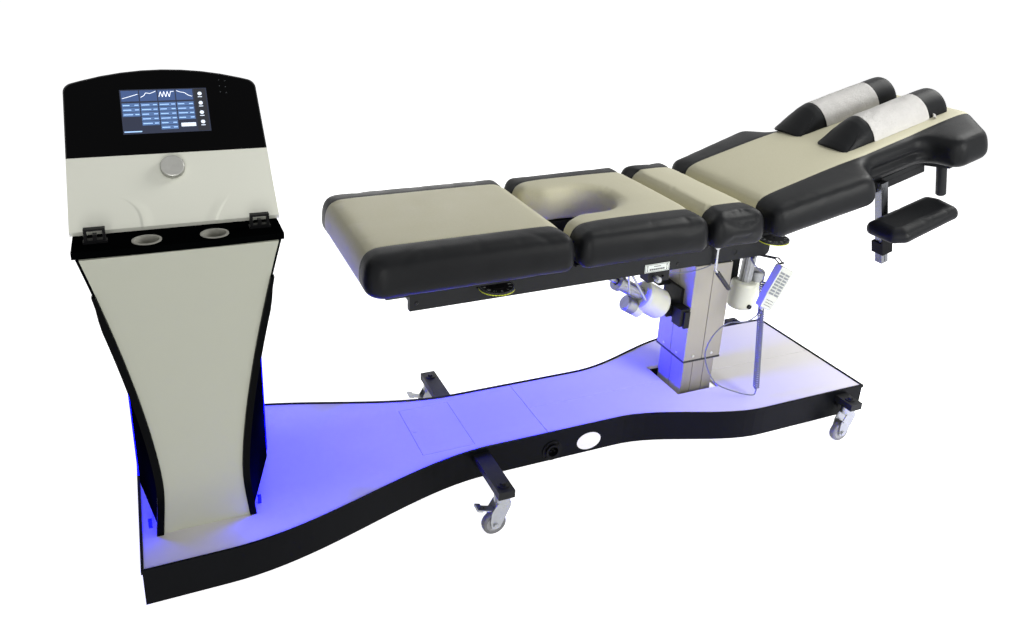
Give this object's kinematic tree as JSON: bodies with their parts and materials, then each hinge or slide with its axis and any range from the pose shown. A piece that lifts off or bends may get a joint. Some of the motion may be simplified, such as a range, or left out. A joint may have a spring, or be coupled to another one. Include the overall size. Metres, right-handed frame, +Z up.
{
  "type": "spinal decompression table",
  "caption": "Long wheeled base with a control tower and an electric lifting column carrying a segmented padded table with a tilting back section.",
  "frame": {"origin": "middle of the whole object in plan, on the floor", "axes": "+X runs from the foot end to the head end, -Y is the operator's side, +Z is up"},
  "size_m": [2.9229, 0.8034, 1.3336],
  "materials": {
    "chassis_black": "satin powder coat",
    "skin_black": "matt moulded plastic",
    "white_lacquer": "smooth white, satin gloss",
    "castor_zinc": "zinc plated pressed steel",
    "tyre_grey": "grey rubber tread",
    "inlet_black": "black moulded plastic",
    "label_white": "plain white film",
    "light_blue": "blue light strip behind a clear cover",
    "bezel_black": "glass-like black panel",
    "screen_blue": "lit touch screen",
    "alloy": "brushed extruded alloy",
    "seal_black": "black wiper rubber with zinc screws",
    "board_black": "plywood painted black with steel fittings",
    "vinyl": "black upholstery vinyl, pale middle stripe on the body sections",
    "cover_paper": "white hygiene paper",
    "bright_rod": "bright plated steel rod",
    "dial_black": "black with white numbers and a bright rim line",
    "jack_alloy": "cast and extruded alloy",
    "handset_grey": "pale grey plastic with grey keys",
    "cord_grey": "grey curly cord"
  },
  "bodies": {
    "base": {"base_frame": "chassis_black", "base_skin": "skin_black", "deck_panels": "white_lacquer", "deck_hatch": "white_lacquer", "side_socket": "inlet_black", "base_label": "label_white", "tower_body": "skin_black", "tower_panel": "white_lacquer", "tower_trims": "skin_black", "tower_lights": "light_blue", "tower_shelf": "skin_black", "belt_buckles": "skin_black", "console_housing": "white_lacquer", "console_bezel": "bezel_black", "console_screen": "screen_blue", "column_lower": "alloy"},
    "console_dial": {"console_knob": "alloy"},
    "lift": {"column_upper": "alloy", "column_seal": "seal_black", "column_head": "chassis_black"},
    "top": {"table_rails": "chassis_black", "cushion_pelvic": "vinyl", "handset": "handset_grey", "handset_cord": "cord_grey"},
    "leg": {"leg_carriage": "board_black", "cushion_leg": "vinyl"},
    "lumbar": {"lumbar_plate": "board_black", "cushion_lumbar": "vinyl"},
    "back": {"back_frame": "board_black", "cushion_back": "vinyl", "arm_posts": "alloy"},
    "bolster_near": {"bolster_near": "vinyl", "bolster_cover_near": "cover_paper"},
    "bolster_far": {"bolster_far": "vinyl", "bolster_cover_far": "cover_paper"},
    "arm_near": {"arm_clamp_near": "chassis_black", "arm_pad_near": "vinyl"},
    "arm_far": {"arm_clamp_far": "chassis_black", "arm_pad_far": "vinyl"},
    "arm_near_knob": {"arm_knob_near": "dial_black"},
    "arm_far_knob": {"arm_knob_far": "dial_black"},
    "drop_lever": {"drop_lever": "bright_rod"},
    "release_lever": {"release_lever": "bright_rod"},
    "dial_leg": {"dial_leg": "dial_black"},
    "dial_back": {"dial_back": "dial_black"},
    "lock": {"lock_knob": "bright_rod"},
    "flex_jack": {"flex_jack": "jack_alloy"},
    "flex_rod": {"flex_rod": "bright_rod"},
    "back_jack": {"back_jack": "jack_alloy"},
    "back_rod": {"back_rod": "bright_rod"},
    "brake_near": {"castor_brake_near": "castor_zinc"},
    "brake_far": {"castor_brake_far": "castor_zinc"},
    "castor_near_mid": {"castor_fork_near_mid": "castor_zinc"},
    "wheel_near_mid": {"castor_wheel_near_mid": "tyre_grey"},
    "castor_far_mid": {"castor_fork_far_mid": "castor_zinc"},
    "wheel_far_mid": {"castor_wheel_far_mid": "tyre_grey"},
    "castor_near_head": {"castor_fork_near_head": "castor_zinc"},
    "wheel_near_head": {"castor_wheel_near_head": "tyre_grey"},
    "castor_far_head": {"castor_fork_far_head": "castor_zinc"},
    "wheel_far_head": {"castor_wheel_far_head": "tyre_grey"}
  },
  "joints": [
    {"name": "column_lift", "type": "slide", "parent": "base", "child": "lift", "axis": [0, 0, 1], "range_m": [-0.12, 0.15], "deforming": ["handset_cord"]},
    {"name": "flexion", "type": "hinge", "parent": "lift", "child": "top", "pos_m": [0.46, 0, 0.742], "axis": [0, 1, 0], "range_deg": [-15, 3]},
    {"name": "leg_traction", "type": "slide", "parent": "top", "child": "leg", "axis": [-0.9999, 0, -0.0157], "range_m": [0, 0.1]},
    {"name": "lumbar_drop", "type": "slide", "parent": "top", "child": "lumbar", "axis": [0.0157, 0, -0.9999], "range_m": [0, 0.012]},
    {"name": "back_incline", "type": "hinge", "parent": "top", "child": "back", "pos_m": [0.53758, 0, 0.79384], "axis": [0, 1, 0], "range_deg": [-5, 15.5]},
    {"name": "bolster_near_shift", "type": "slide", "parent": "back", "child": "bolster_near", "axis": [0, 1, 0], "range_m": [-0.02, 0.02]},
    {"name": "bolster_far_shift", "type": "slide", "parent": "back", "child": "bolster_far", "axis": [0, 1, 0], "range_m": [-0.02, 0.02]},
    {"name": "arm_near_height", "type": "slide", "parent": "back", "child": "arm_near", "axis": [-0.2672, 0, 0.9636], "range_m": [-0.04, 0.07]},
    {"name": "arm_near_clamp_turn", "type": "hinge", "parent": "arm_near", "child": "arm_near_knob", "pos_m": [1.09757, -0.222, 0.71668], "axis": [0.9636, 0, 0.2672], "continuous": true},
    {"name": "arm_far_height", "type": "slide", "parent": "back", "child": "arm_far", "axis": [-0.2672, 0, 0.9636], "range_m": [-0.04, 0.07]},
    {"name": "arm_far_clamp_turn", "type": "hinge", "parent": "arm_far", "child": "arm_far_knob", "pos_m": [1.09757, 0.222, 0.71668], "axis": [0.9636, 0, 0.2672], "continuous": true},
    {"name": "drop_lever_swing", "type": "hinge", "parent": "top", "child": "drop_lever", "pos_m": [0.37744, -0.182, 0.77671], "axis": [0, 1, 0], "range_deg": [-30, 30]},
    {"name": "release_lever_swing", "type": "hinge", "parent": "top", "child": "release_lever", "pos_m": [0.09549, -0.096, 0.70827], "axis": [0, 1, 0], "range_deg": [-12, 20]},
    {"name": "leg_dial_turn", "type": "hinge", "parent": "top", "child": "dial_leg", "pos_m": [-0.40816, -0.194, 0.74536], "axis": [-0.0157, 0, 0.9999], "continuous": true},
    {"name": "back_dial_turn", "type": "hinge", "parent": "top", "child": "dial_back", "pos_m": [0.59742, -0.194, 0.78016], "axis": [-0.0157, 0, 0.9999], "continuous": true},
    {"name": "lock_plunger", "type": "slide", "parent": "top", "child": "lock", "axis": [0, -1, 0], "range_m": [0, 0.01], "stiffness_N_per_m": 400},
    {"name": "flex_jack_base", "type": "hinge", "parent": "lift", "child": "flex_jack", "pos_m": [0.342, 0, 0.474], "axis": [0, 1, 0], "range_deg": [-15, 3.2]},
    {"name": "flex_rod_eye", "type": "hinge", "parent": "top", "child": "flex_rod", "pos_m": [0, 0, 0.684], "axis": [0, 1, 0], "range_deg": [-1, 1]},
    {"name": "back_jack_base", "type": "hinge", "parent": "top", "child": "back_jack", "pos_m": [0.674, 0, 0.452], "axis": [0, 1, 0], "range_deg": [-3, 1.2]},
    {"name": "back_rod_eye", "type": "hinge", "parent": "back", "child": "back_rod", "pos_m": [0.696, 0, 0.748], "axis": [0, 1, 0], "range_deg": [-19, 6.5]},
    {"name": "castor_near_mid_swivel", "type": "hinge", "parent": "base", "child": "castor_near_mid", "pos_m": [-0.419, -0.33, 0.112], "axis": [0, 0, 1], "continuous": true},
    {"name": "castor_near_mid_roll", "type": "hinge", "parent": "castor_near_mid", "child": "wheel_near_mid", "pos_m": [-0.443, -0.33, 0.0375], "axis": [0, 1, 0], "continuous": true},
    {"name": "castor_far_mid_swivel", "type": "hinge", "parent": "base", "child": "castor_far_mid", "pos_m": [-0.419, 0.33, 0.112], "axis": [0, 0, 1], "continuous": true},
    {"name": "castor_far_mid_roll", "type": "hinge", "parent": "castor_far_mid", "child": "wheel_far_mid", "pos_m": [-0.443, 0.33, 0.0375], "axis": [0, 1, 0], "continuous": true},
    {"name": "castor_near_head_swivel", "type": "hinge", "parent": "base", "child": "castor_near_head", "pos_m": [0.962, -0.33, 0.112], "axis": [0, 0, 1], "continuous": true},
    {"name": "castor_near_head_roll", "type": "hinge", "parent": "castor_near_head", "child": "wheel_near_head", "pos_m": [0.938, -0.33, 0.0375], "axis": [0, 1, 0], "continuous": true},
    {"name": "castor_far_head_swivel", "type": "hinge", "parent": "base", "child": "castor_far_head", "pos_m": [0.962, 0.33, 0.112], "axis": [0, 0, 1], "continuous": true},
    {"name": "castor_far_head_roll", "type": "hinge", "parent": "castor_far_head", "child": "wheel_far_head", "pos_m": [0.938, 0.33, 0.0375], "axis": [0, 1, 0], "continuous": true},
    {"name": "brake_near_pedal", "type": "hinge", "parent": "castor_near_mid", "child": "brake_near", "pos_m": [-0.45, -0.33, 0.084], "axis": [0, 1, 0], "range_deg": [-12, 0]},
    {"name": "brake_far_pedal", "type": "hinge", "parent": "castor_far_mid", "child": "brake_far", "pos_m": [-0.45, 0.33, 0.084], "axis": [0, 1, 0], "range_deg": [-12, 0]},
    {"name": "console_dial_turn", "type": "hinge", "parent": "base", "child": "console_dial", "pos_m": [-1.23, -0.07622, 1.12382], "axis": [0, -0.7804, 0.6252], "continuous": true}
  ],
  "couplings": [
    {"joint": "flex_jack_base", "follows": "flexion", "ratio": 0.99},
    {"joint": "flex_rod_eye", "follows": "flexion", "ratio": -0.01},
    {"joint": "back_jack_base", "follows": "back_incline", "ratio": -0.18},
    {"joint": "back_rod_eye", "follows": "back_incline", "ratio": -1.18}
  ]
}
